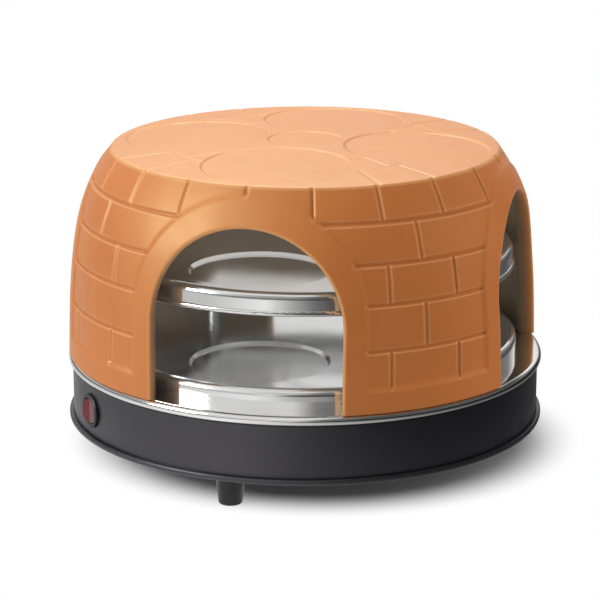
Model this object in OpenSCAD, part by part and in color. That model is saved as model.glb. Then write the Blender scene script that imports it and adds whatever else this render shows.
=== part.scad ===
// Electric oven for small pizzas: a terracotta dome with four arches stands loose on a round
// heated base, over two chrome baking tiers. Millimetres, +Z up, origin on the floor under the
// centre. Angles are counted from the front (-Y) towards the right (+X).

/* [Dome] */
// How far the dome's foot stands out past the base wall
dome_out = 2.8; // [1:0.1:3.2]
// Height of the dome's side, from its foot to the edge of its top
dome_h = 151; // [148:1:170]
// How far the dome leans in over its height, without its shoulder
dome_taper = 4; // [2:0.5:8]
// How far the rounded shoulder draws in at the top
shoulder_in = 28.8; // [20:0.2:30]
// How late the shoulder turns in, higher is later
shoulder_power = 3.7; // [3:0.1:6]
// Rise of the top towards its centre
crown = 4; // [2:0.5:8]
// Thickness of the clay
clay_t = 12; // [8:0.5:14]

/* [Arches] */
// Width of each arched opening
arch_w = 135; // [110:1:140]
// Height at which the straight sides turn into the round head
arch_spring = 57; // [40:1:58]
// Width of the smooth raised band beside the opening
band_w = 15.5; // [8:0.5:16]
// How much higher the head of the band is centred than the head of the opening
band_rise = 4.4; // [0:0.2:6]
// How far the band and the border stand proud of the bricks
band_proud = 1.5; // [0.5:0.1:1.5]

/* [Brickwork] */
// Height of the smooth border round the dome's foot
border_h = 16.5; // [10:0.5:20]
// Height of the first course above the border
course_1_h = 26; // [22:0.5:28]
// Height of the second course
course_2_h = 31.5; // [24:0.5:33]
// Height of the third course
course_3_h = 27; // [22:0.5:28]
// Height of the fourth course
course_4_h = 26.5; // [22:0.5:28]
// Width of a joint between bricks
joint_w = 2.6; // [2:0.1:4]
// Depth of a joint
joint_depth = 1; // [0.6:0.1:1.2]
// Bricks in the top course
top_bricks = 20; // [16:1:24]
// Half the turn between the two joints of an even course, in degrees
brick_turn = 9; // [6:0.5:12]
// Angle by which the brickwork is set off from the middle of its pier
brick_shift = -1.2; // [-3:0.2:3]

/* [Top of the dome] */
// Diameter of the four shallow circles on top
circle_d = 103.6; // [90:0.2:106]
// Flat left between those circles and the edge of the top
circle_edge = 7.6; // [6:0.2:14]
// Diameter of the shallow circle in the middle
middle_d = 54.8; // [40:0.2:56]
// Depth of the circles and of the paving's joints
circle_depth = 1; // [0.6:0.1:1.6]
// Distance of the outer ring joint of the paving from the edge of the top
paving_edge = 41.8; // [34:0.1:50]
// Width of the ring of paving inside it
paving_w = 30; // [24:1:36]

/* [Base] */
// How far the lip round the foot of the base stands out past the wall
lip_out = 3.2; // [2:0.1:6]
// Height of the lip
lip_h = 4; // [3:0.5:6]
// Outer diameter of the base wall
base_d = 343.6; // [320:0.2:380]
// Height of the base, from the bottom cover to the rim that the dome stands on
base_h = 49; // [49:1:60]
// Thickness of the sheet steel of the wall and the cover
sheet_t = 1.2; // [0.8:0.1:1.6]
// Radius of the rolled bead of the rim
bead_r = 3.5; // [2.5:0.1:4]
// How far the bead stands out past the wall
bead_out = 2.7; // [1.5:0.1:3]
// Thickness of the rim's chrome sheet
rim_t = 1; // [0.8:0.1:1.4]

/* [Baking tiers] */
// Gap between the lower tier and the clay round it
tier_side_gap = 6.6; // [5:0.1:8]
// Height of the lower tier
lower_h = 13.5; // [12:0.5:18]
// How much smaller the upper tier's radius is than the lower tier's
upper_step = 4; // [3:0.5:8]
// Height of the upper tier
upper_h = 16.5; // [13:0.5:17]
// Height of the space between the tiers
tier_gap = 50.5; // [44:0.5:52]
// Thickness of the tiers' sheet
plate_t = 1.2; // [0.8:0.1:1.5]
// Radius of the tiers' upper edges
plate_edge = 5; // [2:0.5:5]
// Diameter of each pressed recess
recess_d = 100; // [90:1:114]
// Angle of the recesses from the middles of the arches
recess_turn = -5; // [-10:1:10]
// Flat left between a recess and the upper tier's rounded edge
recess_gap = 2.5; // [0.3:0.1:6]
// Depth of the recesses
recess_depth = 2; // [1:0.1:2.5]
// Radius of the bead along the upper tier's lower edge
tier_bead_r = 2; // [1:0.1:2]

/* [Feet] */
// Height of the feet
foot_h = 25; // [20:1:35]
// Diameter of a foot at its top
foot_top_d = 21.5; // [18:0.5:26]
// Diameter of a foot at the floor
foot_low_d = 17; // [14:0.5:18]
// Distance of the feet in from the base wall
foot_in = 23.8; // [20:0.2:40]
// Angle of the first foot
foot_turn = -5.8; // [-12:0.2:0]

/* [Switch] */
// Angle of the switch on the base wall
switch_turn = -48; // [-55:1:-35]
// Height of the switch above the bottom cover
switch_z = 22.5; // [20:0.5:23]
// Diameter of the bezel
bezel_d = 25; // [24.5:0.5:28]
// How far the bezel stands out
bezel_t = 2; // [1.5:0.1:3]
// Width of the rocker's face
rocker_w = 15.6; // [13:0.2:16]
// Height of the rocker's face
rocker_h = 17; // [14:0.2:17]
// Angle of each half of the face, which is also how far the rocker tilts each way
rocker_tilt = 8; // [5:0.5:9]

/* [Posts and heaters] */
// Distance of the four posts in from the upper tier's edge
post_in = 10; // [9:0.5:12]
// Outer diameter of a post sleeve
post_d = 10; // [8:0.5:11]
// Diameter of the rods inside the sleeves
rod_d = 5; // [4:0.5:6]
// Diameter of the heater tubes
heater_d = 6.5; // [5:0.1:7]
// Radius of the lower heater's ring
lower_heater_r = 92; // [80:1:100]
// Radius of the upper heater's ring
upper_heater_r = 112; // [106:1:118]
// Depth of the reflector pan below the rim
pan_depth = 13; // [12:0.5:15]
// Thickness of the insulation pad
pad_t = 8; // [5:0.5:9]

/* [Cord gland] */
// Angle of the cord gland
gland_turn = 180; // [174:1:190]
// Height of the lead above the bottom cover
gland_z = 16; // [14:0.5:17]
// Diameter of the lead that it holds
lead_d = 7; // [6:0.1:8]

/* [Hidden] */
$fn = 96;

arches = 4;
quarter = 360 / arches;
feet = 3;
nothing = 0.01;
over = 1;
round_steps = 6;

// Clearances
fit = 0.3;
hole_gap = 0.4;
swing_gap = 0.4;
bead_drop = 0.3;
heater_gap_low = 4;
heater_gap_up = 2.5;

// Widths that follow the base wall
base_r = base_d / 2;
dome_d = base_d + 2 * dome_out;
lip_d = base_d + 2 * lip_out;
lower_d = dome_d - 2 * clay_t - 2 * tier_side_gap;
upper_d = lower_d - 2 * upper_step;
foot_r = base_r - foot_in;
post_r = upper_d / 2 - post_in;

// Heights above the floor
cover_z = foot_h;
floor_z = foot_h + sheet_t;
deck_z = foot_h + base_h;
lower_top = deck_z + lower_h;
upper_low = lower_top + tier_gap;
upper_top = upper_low + upper_h;
pan_z = deck_z - rim_t - pan_depth;
pad_z = pan_z - pad_t;
shield_t = 0.8;
shield_z = pad_z - shield_t;
pan_t = 0.8;

// The dome's outline: how far out its side stands at height h above its foot
function side_r(h) =
    dome_d / 2 - dome_taper * h / dome_h - shoulder_in * pow(h / dome_h, shoulder_power);
function crown_z(r) = dome_h + crown * (1 - pow(r / top_r, 2));
course_z = [
    border_h,
    border_h + course_1_h,
    border_h + course_1_h + course_2_h,
    border_h + course_1_h + course_2_h + course_3_h,
    border_h + course_1_h + course_2_h + course_3_h + course_4_h
];
top_r = side_r(dome_h);
circle_r = top_r - circle_edge - circle_d / 2;
paving_out = top_r - paving_edge;
paving_in = paving_out - paving_w;
course_steps = 2;
shoulder_steps = 3;
side_levels = concat(
    [0],
    [for (c = [0:3]) for (k = [0:course_steps - 1])
        course_z[c] + (course_z[c + 1] - course_z[c]) * k / course_steps],
    [for (k = [0:shoulder_steps]) course_z[4] + (dome_h - course_z[4]) * k / shoulder_steps]
);
joint_levels = [for (c = [1:4]) course_z[c]];
crown_flat_r = 12;
crown_radii = [
    (top_r + paving_out) / 2, paving_out, (paving_out + paving_in) / 2, paving_in,
    paving_in / 2, crown_flat_r
];
paving_radii = [paving_out, paving_in];
ceiling_z = dome_h - clay_t;
skin = 3;
notch_deeper = 1.2;
joint_floor = joint_w / 4;
joint_mid_w = joint_w - joint_floor;
joint_overlap = joint_w / 10;

// Distance of the recesses' centres from the middle
recess_r = upper_d / 2 - plate_edge - recess_gap - recess_d / 2;

// Radii in the base
bead_centre_r = base_r + bead_out - bead_r;
bead_centre_z = deck_z - bead_drop - bead_r;
flange_in = 14;
deck_lap = 6;
deck_in_r = lower_d / 2 - deck_lap;
pan_gap = 2;
pan_r = deck_in_r - pan_gap;
pan_lap = 7;
pan_flange_r = deck_in_r + pan_lap;
pad_gap = 1;
pad_r = post_r - rod_d / 2 - pad_gap;
lip_groove_r = base_r + fit;
lip_round = 1.4;
foot_round = 1.5;
foot_wall_h = 10;
vent_rays = 8;
vent_rows = 3;
vent_first_r = 44;
vent_pitch = 14;
vent_l = 14;
vent_w = 4;

// Fasteners
screw_d = 4;
screw_end = 1;
nut_w = 7;
nut_h = 3.2;
head_d = 8;
head_h = 2.6;
big_nut_w = 8;
big_nut_h = 4;
cap_dome_h = 1.5;
cover_screw_count = 6;
cover_screw_r = base_r - flange_in / 2 - screw_end;
cover_screw_reach = 3;
bracket_turn = quarter / 4;
bracket_w = 14;
bracket_leg_h = 18;
bracket_lap = 4;
bracket_gap = 2;
bracket_r = base_r - sheet_t - nut_w - bracket_gap;
bracket_leg_r = bead_centre_r - bead_r - fit - sheet_t;
rivet_d = 5;
stud_l = 9;

// Posts
post_low = lower_top;
post_high = upper_top - plate_t;

// Heaters
ball_extra = 1.5;
heater_gap = 6;
lower_heater_z = lower_top - recess_depth - plate_t - heater_gap_low - heater_d / 2;
upper_heater_z = upper_top - recess_depth - plate_t - heater_gap_up - heater_d / 2;
upper_gap_turn = 135;
lower_gap_turn = -135;
leg_out = 7;
leg_low_z = shield_z - leg_out;
pin_d = 2.2;
pin_l = 8;
clips = 3;
clip_t = 2;
clip_w = 12;
clip_over = 2;
pad_hole_gap = 1;

// Switch
pivot_in = 3.8;
pivot_r = base_r + bezel_t - pivot_in;
face_out = 3.5;
swing_r = norm([rocker_w / 2, face_out + rocker_w / 2 * tan(rocker_tilt)]);
bezel_lap = 1.5;
bezel_edge = 0.6;
switch_body_d = bezel_d - 2 * bezel_lap;
switch_depth = 18;
switch_floor = 2;
rocker_margin = 3.5;
rocker_round = bezel_d / 2 - rocker_margin;
well_round = rocker_round + bezel_lap - fit;
rocker_back = 2.4;
pin_r = 1;
pin_hold = 1;
pin_hole_end = 0.1;
lamp_d = 5;
lamp_in = 5;
lamp_short = 3;
tab_w = 6;
tab_t = 0.8;
tab_l = 6;
tab_pitch = 6;

// Electric pieces under the heat shield
thermostat_turn = 20;
fuse_turn = -60;
sensor_r = 40;
thermostat_d = 17;
thermostat_h = 9;
thermostat_ear = [24, 8, 1];
fuse_d = 5;
fuse_l = 16;
fuse_block = [6, 7, 7];
fuse_drop = 4;
block_turn = 160;
block_in = 59.8;
block_r = base_r - block_in;
block_size = [40, 16, 11];
block_pitch = 12;
block_hole_d = 5;
block_hole_floor = 7;

// Leads
wire_d = 2.6;
wire_rise = 6;
wire_z = floor_z + wire_rise;
wire_pitch = 7;
wire_in = 30.8;
wire_out_r = base_r - wire_in;
crimp_ratio = 1.6;
wire_switch_turn = 5;
wire_gland_turn = 16;
wire_earth_turn = 40;
earth_stud_turn = 52;
wire_switch_end = switch_turn + wire_switch_turn;
wire_gland_end = gland_turn - wire_gland_turn;
earth_start = gland_turn - wire_earth_turn;
stud_turn = gland_turn - earth_stud_turn;
stud_h = 12;
stud_nut_up = 3;

// Cord gland and clamp
gland_t = 2.6;
gland_flange = 5;
gland_edge = 1.5;
gland_lap = 3;
gland_in = 14;
gland_nut_h = 5;
gland_nut_lap = 5;
gland_neck_d = lead_d + gland_t * 2;
clamp_in = 34;
clamp_w = 24;
clamp_depth = 8;
clamp_bar_h = 3;
clamp_post_h = gland_z - sheet_t - lead_d / 2;
clamp_screw_x = 8.5;
clamp_screw_d = 3;
clamp_head_d = 5.6;
clamp_head_h = 2;
clamp_hole_floor = 4;

// ---------------------------------------------------------------- helpers

module at_turn(a, r) {
    rotate([0, 0, a])
        translate([0, -r, 0])
            children();
}

// Children stand with their Z axis pointing out of the wall, X along it and Y up
module on_wall(a, r, z) {
    at_turn(a, r)
        translate([0, 0, z])
            rotate([90, 0, 0])
                children();
}

module each_post() {
    for (k = [0:arches - 1])
        at_turn(quarter / 2 + quarter * k, post_r)
            children();
}

module each_foot() {
    for (k = [0:feet - 1])
        at_turn(foot_turn + 360 / feet * k, foot_r)
            children();
}

// A six-sided bar of width w across its flats
module hex_bar(w, h) {
    cylinder(h = h, d = w / cos(30), $fn = 6);
}

module hex_nut(w, h, bore) {
    difference() {
        hex_bar(w, h);
        translate([0, 0, -over])
            cylinder(h = h + 2 * over, d = bore);
    }
}

// Points of a quarter circle round a corner, from angle a0 to a1
function corner(x, y, r, a0, a1) =
    [for (k = [0:round_steps])
        [x + r * cos(a0 + (a1 - a0) * k / round_steps), y + r * sin(a0 + (a1 - a0) * k / round_steps)]];

// ---------------------------------------------------------------- dome

// Whether a list holds a value
function holds(list, v) = len([for (x = list) if (abs(x - v) < nothing) x]) > 0;

// Points of the side at level h: one point, or a notch of depth deep where a level joint runs
function side_points(h, inset, deep) =
    deep > 0 && holds(joint_levels, h)
        ? [
            [side_r(h - joint_w / 2) - inset, h - joint_w / 2],
            [side_r(h) - inset - deep, h - joint_floor],
            [side_r(h) - inset - deep, h + joint_floor],
            [side_r(h + joint_w / 2) - inset, h + joint_w / 2]
        ]
        : [[side_r(h) - inset, h]];

// Points of the crown at radius r, lowered by drop, with a notch where a ring of paving runs
function crown_points(r, drop, deep) =
    deep > 0 && holds(paving_radii, r)
        ? [
            [r + joint_w / 2, crown_z(r + joint_w / 2) - drop],
            [r + joint_floor, crown_z(r) - drop - deep],
            [r - joint_floor, crown_z(r) - drop - deep],
            [r - joint_w / 2, crown_z(r - joint_w / 2) - drop]
        ]
        : [[r, crown_z(r) - drop]];

// Solid turned from the dome's outline: drawn in by inset, its top lowered by drop, its level
// joints cut side_deep and its paving rings top_deep
module dome_body(inset, drop, side_deep, top_deep) {
    rotate_extrude()
        polygon(concat(
            [[0, 0]],
            [for (h = side_levels) if (h < dome_h) each side_points(h, inset, side_deep)],
            [[top_r - inset, dome_h - drop]],
            [for (r = crown_radii) each crown_points(r, drop, top_deep)],
            [[0, crown_z(crown_flat_r) - drop]]
        ));
}

// The hollow under the clay, open below
module dome_hollow() {
    inner_levels = [for (h = side_levels) if (h < ceiling_z) h];
    rotate_extrude()
        polygon(concat(
            [[0, -over], [side_r(0) - clay_t, -over]],
            [for (h = inner_levels) [side_r(h) - clay_t, h]],
            [[side_r(ceiling_z) - clay_t, ceiling_z], [0, ceiling_z]]
        ));
}

// A straight passage right through the dome with upright sides and a round head
module passage(half_w, spring) {
    rotate([90, 0, 0]) {
        translate([0, spring, -dome_d])
            cylinder(h = dome_d * 2, r = half_w);
        translate([-half_w, -over, -dome_d])
            cube([half_w * 2, spring + over, dome_d * 2]);
    }
}

module passages(half_w, spring) {
    passage(half_w, spring);
    rotate([0, 0, quarter])
        passage(half_w, spring);
}

// The outer skin of the dome, where it stands proud: the bands and the border
module proud_skin() {
    intersection() {
        difference() {
            dome_body(0, 0, 0, 0);
            translate([0, 0, -over])
                rotate_extrude()
                    polygon(concat(
                        [[0, 0]],
                        [for (h = side_levels) [side_r(h) - skin, h + (h == 0 ? 0 : over)]],
                        [[0, dome_h + over]]
                    ));
        }
        union() {
            passages(arch_w / 2 + band_w, arch_spring + band_rise);
            cylinder(h = border_h, r = dome_d);
        }
    }
}

// Slot for one upright joint of the brick face, from height h0 to h1
module upright_joint(a, h0, h1) {
    out = side_r(h0) + over;
    reach = out - side_r(h1) + 2 * skin;
    rotate([0, 0, a])
        translate([-joint_mid_w / 2, -out, h0 - joint_overlap])
            cube([joint_mid_w, reach, h1 - h0 + 2 * joint_overlap]);
}

// The joints of one pier: one in the middle of an odd course, two in an even one
module pier_joints(a) {
    for (c = [0:3])
        for (s = c % 2 == 0 ? [-1, 1] : [0])
            upright_joint(a + brick_shift + s * brick_turn, course_z[c], course_z[c + 1]);
}

module top_course_joints() {
    for (b = [0:top_bricks - 1])
        upright_joint(360 / top_bricks * b + brick_shift, course_z[4], dome_h + crown);
}

// Slot for a straight joint of the paving on top, from radius r0 to r1
module paving_joint(a, r0, r1) {
    rotate([0, 0, a])
        translate([-joint_mid_w / 2, -r1 - joint_overlap, dome_h - skin])
            cube([joint_mid_w, r1 - r0 + 2 * joint_overlap, crown + 2 * skin]);
}

module paving_joints() {
    for (k = [0:arches - 1]) {
        a = quarter / 2 + quarter * k;
        for (s = [-1, 1])
            paving_joint(a + s * brick_turn, paving_out, top_r - skin);
        paving_joint(a + brick_turn / 2, paving_in, paving_out);
    }
}

module top_circles() {
    for (k = [0:arches - 1])
        at_turn(quarter * k, circle_r)
            translate([0, 0, dome_h - skin])
                cylinder(h = crown + 2 * skin, d = circle_d);
    translate([0, 0, dome_h - skin])
        cylinder(h = crown + 2 * skin, d = middle_d);
}

module dome_cover() {
    color("#cf8450")
        translate([0, 0, deck_z])
            difference() {
                union() {
                    difference() {
                        dome_body(band_proud, 0, joint_depth * notch_deeper, circle_depth * notch_deeper);
                        top_course_joints();
                        for (k = [0:arches - 1])
                            pier_joints(quarter / 2 + quarter * k);
                        paving_joints();
                        top_circles();
                    }
                    translate([0, 0, nothing])
                        dome_body(band_proud + joint_depth, circle_depth, 0, 0);
                    proud_skin();
                }
                dome_hollow();
                passages(arch_w / 2, arch_spring);
            }
}

// ---------------------------------------------------------------- baking tiers

// Section of an inverted pan with a rounded upper edge, its wall ending at height low
module pan_section(r, h, low) {
    edge = plate_edge;
    polygon(concat(
        [[0, h - plate_t]],
        corner(r - edge, h - edge, edge - plate_t, 90, 0),
        [[r - plate_t, low], [r, low]],
        corner(r - edge, h - edge, edge, 0, 90),
        [[0, h]]
    ));
}

// Tapered discs at the places of the recesses: at the depth set by z, wider upwards
module recesses(z, d, h) {
    for (k = [0:arches - 1])
        at_turn(quarter * k + recess_turn, recess_r)
            translate([0, 0, z])
                cylinder(h = h, d1 = d - 2 * h, d2 = d);
}

// A baking tier, with a rolled bead of radius bead along its lower edge if that is above 0
module tier(d, h, bead) {
    difference() {
        union() {
            rotate_extrude() {
                pan_section(d / 2, h, bead);
                if (bead > 0)
                    translate([d / 2 - plate_t / 2, bead])
                        circle(r = bead);
            }
            recesses(h - recess_depth - plate_t, recess_d + 2 * plate_t, recess_depth + plate_t - nothing);
        }
        recesses(h - recess_depth, recess_d + 2 * over, recess_depth + over);
        each_post()
            cylinder(h = h * 2, d = rod_d + hole_gap);
    }
}

module lower_plate() {
    color("#c9ccd0")
        translate([0, 0, deck_z])
            difference() {
                tier(lower_d, lower_h, 0);
                heater_legs(upper_heater_r, upper_gap_turn)
                    cylinder(h = lower_h * 2, d = heater_d + 2 * hole_gap);
            }
}

module upper_plate() {
    color("#c9ccd0")
        translate([0, 0, upper_low])
            tier(upper_d, upper_h, tier_bead_r);
}

// ---------------------------------------------------------------- base

module rim_deck() {
    color("#d4d6d9") {
        rotate_extrude()
            difference() {
                union() {
                    translate([deck_in_r, deck_z - rim_t])
                        square([bead_centre_r - deck_in_r, rim_t]);
                    translate([bead_centre_r, bead_centre_z])
                        circle(r = bead_r);
                    translate([bead_centre_r - bead_r, bead_centre_z])
                        square([bead_r, deck_z - rim_t / 2 - bead_centre_z]);
                }
                translate([bead_centre_r, bead_centre_z])
                    circle(r = bead_r - rim_t);
            }
        deck_studs();
    }
}

module each_bracket() {
    for (k = [0:arches - 1])
        at_turn(bracket_turn + quarter * k, bracket_r)
            children();
}

// Studs welded under the rim
module deck_studs() {
    each_bracket()
        translate([0, 0, deck_z - rim_t - stud_l])
            cylinder(h = stud_l + rim_t / 2, d = screw_d);
}

module base_wall() {
    wall_top = bead_centre_z - bead_r - fit;
    color("#3a383b")
        difference() {
            rotate_extrude() {
                translate([base_r - sheet_t, floor_z])
                    square([sheet_t, wall_top - floor_z]);
                translate([base_r - flange_in, floor_z])
                    square([flange_in, sheet_t]);
            }
            on_wall(switch_turn, base_r - flange_in, cover_z + switch_z)
                cylinder(h = flange_in * 2, d = switch_body_d + hole_gap);
            on_wall(gland_turn, base_r - flange_in, cover_z + gland_z)
                cylinder(h = flange_in * 2, d = gland_neck_d + hole_gap);
            each_cover_screw()
                translate([0, 0, floor_z - over])
                    cylinder(h = sheet_t + 2 * over, d = screw_d);
        }
}

module each_cover_screw() {
    for (k = [0:cover_screw_count - 1])
        at_turn(360 / cover_screw_count * (k + 0.5) + foot_turn, cover_screw_r)
            children();
}

module bottom_cover() {
    lip_in_r = lip_d / 2 - lip_round;
    color("#2c2b2d")
        difference() {
            rotate_extrude()
                polygon(concat(
                    [[0, cover_z]],
                    corner(lip_in_r, cover_z + lip_round, lip_round, -90, 0),
                    corner(lip_in_r, cover_z + lip_h - lip_round, lip_round, 0, 90),
                    [[lip_groove_r, cover_z + lip_h], [lip_groove_r, floor_z], [0, floor_z]]
                ));
            translate([0, 0, cover_z - over]) {
                each_foot()
                    cylinder(h = sheet_t + 2 * over, d = screw_d + hole_gap);
                each_cover_screw()
                    cylinder(h = sheet_t + 2 * over, d = screw_d + hole_gap);
                for (k = [0:vent_rays - 1])
                    for (row = [0:vent_rows - 1])
                        at_turn(360 / vent_rays * k, vent_first_r + vent_pitch * row)
                            translate([-vent_l / 2, -vent_w / 2, 0])
                                cube([vent_l, vent_w, sheet_t + 2 * over]);
            }
        }
}

module foot() {
    difference() {
        rotate_extrude()
            polygon(concat(
                [[0, 0]],
                corner(foot_low_d / 2 - foot_round, foot_round, foot_round, -90, 0),
                [[foot_top_d / 2, foot_h], [0, foot_h]]
            ));
        translate([0, 0, -over])
            cylinder(h = foot_h - foot_wall_h + over, d = head_d + 2 * hole_gap);
        cylinder(h = foot_h * 2, d = screw_d + hole_gap);
    }
}

module foot_n(k) {
    color("#1d1d1e")
        at_turn(foot_turn + 360 / feet * k, foot_r)
            foot();
}

module foot_screws() {
    color("#9b9ea2")
        each_foot()
            translate([0, 0, foot_h - foot_wall_h]) {
                translate([0, 0, -head_h])
                    cylinder(h = head_h, d = head_d);
                cylinder(h = foot_wall_h + sheet_t + nut_h + screw_end, d = screw_d);
            }
}

module foot_nuts() {
    color("#9b9ea2")
        each_foot()
            translate([0, 0, floor_z])
                hex_nut(nut_w, nut_h, screw_d);
}

module cover_screws() {
    color("#9b9ea2")
        each_cover_screw()
            translate([0, 0, cover_z - head_h]) {
                cylinder(h = head_h, d = nut_w);
                cylinder(h = head_h + sheet_t * 2 + cover_screw_reach, d = screw_d);
            }
}

// Angle brackets under the rim, each riveted to the wall through a spacer
module deck_brackets() {
    wall_in_r = base_r - sheet_t;
    reach = bracket_leg_r + sheet_t - bracket_r;
    leg_z = deck_z - rim_t - bracket_leg_h;
    color("#a9acaf")
        each_bracket()
            difference() {
                union() {
                    translate([-bracket_w / 2, -reach, deck_z - rim_t - sheet_t])
                        cube([bracket_w, reach + bracket_lap, sheet_t]);
                    translate([-bracket_w / 2, -reach, leg_z])
                        cube([bracket_w, sheet_t, bracket_leg_h]);
                    intersection() {
                        translate([0, -reach + sheet_t / 2, leg_z + rivet_d])
                            rotate([90, 0, 0])
                                cylinder(h = base_r, d = rivet_d);
                        translate([0, bracket_r, leg_z])
                            cylinder(h = bracket_leg_h, r = wall_in_r);
                    }
                }
                translate([0, 0, leg_z])
                    cylinder(h = bracket_leg_h + over, d = screw_d + hole_gap);
            }
}

module deck_nuts() {
    color("#9b9ea2")
        each_bracket()
            translate([0, 0, deck_z - rim_t - sheet_t - nut_h])
                hex_nut(nut_w, nut_h, screw_d);
}

// ---------------------------------------------------------------- posts

module post_n(k) {
    color("#b9bcc0")
        at_turn(quarter / 2 + quarter * k, post_r)
            translate([0, 0, post_low])
                difference() {
                    cylinder(h = post_high - post_low, d = post_d);
                    translate([0, 0, -over])
                        cylinder(h = post_high - post_low + 2 * over, d = rod_d + hole_gap);
                }
}

module post_rods() {
    low = shield_z - big_nut_h - screw_end;
    high = upper_top + big_nut_h - screw_end;
    color("#8f9296")
        each_post()
            translate([0, 0, low])
                cylinder(h = high - low, d = rod_d);
}

module post_nuts() {
    color("#9b9ea2")
        each_post()
            translate([0, 0, shield_z - big_nut_h])
                hex_nut(big_nut_w, big_nut_h, rod_d);
}

module cap_nuts() {
    color("#d4d6d9")
        each_post()
            translate([0, 0, upper_top])
                difference() {
                    union() {
                        hex_bar(big_nut_w, big_nut_h);
                        cylinder(h = big_nut_h + cap_dome_h, d = big_nut_w - cap_dome_h);
                    }
                    translate([0, 0, -screw_end])
                        cylinder(h = big_nut_h, d = rod_d);
                }
}

// ---------------------------------------------------------------- heaters

// Children stand at the two places where a heater's legs go down
module heater_legs(r, turn) {
    for (s = [-1, 1])
        at_turn(turn + s * heater_gap, r)
            children();
}

// An open ring of tube whose two ends turn down in a swaged ball and run on as upright legs
module heater(r, z, turn) {
    translate([0, 0, z])
        rotate([0, 0, turn - 90 + heater_gap])
            rotate_extrude(angle = 360 - 2 * heater_gap)
                translate([r, 0])
                    circle(d = heater_d);
    heater_legs(r, turn) {
        translate([0, 0, z])
            sphere(d = heater_d + ball_extra);
        translate([0, 0, leg_low_z])
            cylinder(h = z - leg_low_z, d = heater_d);
    }
}

module lower_element() {
    color("#55565a")
        heater(lower_heater_r, lower_heater_z, lower_gap_turn);
}

module upper_element() {
    color("#55565a")
        heater(upper_heater_r, upper_heater_z, upper_gap_turn);
}

// A saddle on a heater ring, from height low to high
module clip(a, r, z, low, high) {
    at_turn(a, r)
        difference() {
            translate([-clip_t / 2, -clip_w / 2, low])
                cube([clip_t, clip_w, high - low]);
            translate([0, 0, z])
                rotate([0, 90, 0])
                    cylinder(h = clip_t * 3, d = heater_d + fit, center = true);
        }
}

module lower_clips() {
    color("#b9bcc0")
        for (k = [1:clips])
            clip(
                lower_gap_turn + quarter * k, lower_heater_r, lower_heater_z,
                pan_z + pan_t, lower_heater_z + heater_d / 2 + clip_over
            );
}

module upper_clips() {
    color("#b9bcc0")
        for (k = [1:clips])
            clip(
                upper_gap_turn + quarter * k, upper_heater_r, upper_heater_z,
                upper_heater_z - heater_d / 2 - clip_over, upper_top - plate_t
            );
}

// Children stand at the legs of both heaters
module each_leg() {
    heater_legs(lower_heater_r, lower_gap_turn)
        children();
    heater_legs(upper_heater_r, upper_gap_turn)
        children();
}

module element_pins() {
    color("#c8a557")
        each_leg()
            translate([0, 0, leg_low_z - pin_l])
                cylinder(h = pin_l, d = pin_d);
}

// Holes for all four heater legs through the pan, the pad and the shield
module leg_holes(extra) {
    each_leg()
        cylinder(h = deck_z, d = heater_d + 2 * hole_gap + extra);
}

module reflector_pan() {
    under = deck_z - rim_t;
    color("#c2c5c8")
        difference() {
            rotate_extrude()
                polygon([
                    [0, pan_z], [pan_r, pan_z], [pan_r, under - pan_t],
                    [pan_flange_r, under - pan_t], [pan_flange_r, under],
                    [pan_r - pan_t, under], [pan_r - pan_t, pan_z + pan_t], [0, pan_z + pan_t]
                ]);
            leg_holes(0);
            each_post()
                cylinder(h = deck_z, d = rod_d + hole_gap);
        }
}

module insulation_pad() {
    color("#d9d4c4")
        difference() {
            translate([0, 0, pad_z])
                cylinder(h = pad_t, r = pad_r);
            leg_holes(pad_hole_gap);
        }
}

module heat_shield() {
    color("#c2c5c8")
        difference() {
            translate([0, 0, shield_z])
                cylinder(h = shield_t, r = pan_r);
            leg_holes(0);
            each_post()
                cylinder(h = deck_z, d = rod_d + hole_gap);
        }
}

// ---------------------------------------------------------------- electrics

module thermostat() {
    color("#e3ddd0")
        at_turn(thermostat_turn, sensor_r) {
            translate([0, 0, shield_z - thermostat_h])
                cylinder(h = thermostat_h, d = thermostat_d);
            translate([-thermostat_ear.x / 2, -thermostat_ear.y / 2, shield_z - thermostat_ear.z])
                cube(thermostat_ear);
        }
}

module thermal_fuse() {
    color("#e3ddd0")
        at_turn(fuse_turn, sensor_r) {
            translate([-fuse_l / 2, 0, shield_z - fuse_drop])
                rotate([0, 90, 0])
                    cylinder(h = fuse_l, d = fuse_d);
            translate([-fuse_block.x / 2, -fuse_block.y / 2, shield_z - fuse_block.z])
                cube(fuse_block);
        }
}

module terminal_block() {
    color("#efe9dc")
        at_turn(block_turn, block_r)
            difference() {
                translate([-block_size.x / 2, -block_size.y / 2, floor_z])
                    cube(block_size);
                for (k = [-1:1])
                    translate([block_pitch * k, 0, floor_z + block_hole_floor])
                        cylinder(h = block_size.z, d = block_hole_d);
            }
}

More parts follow.
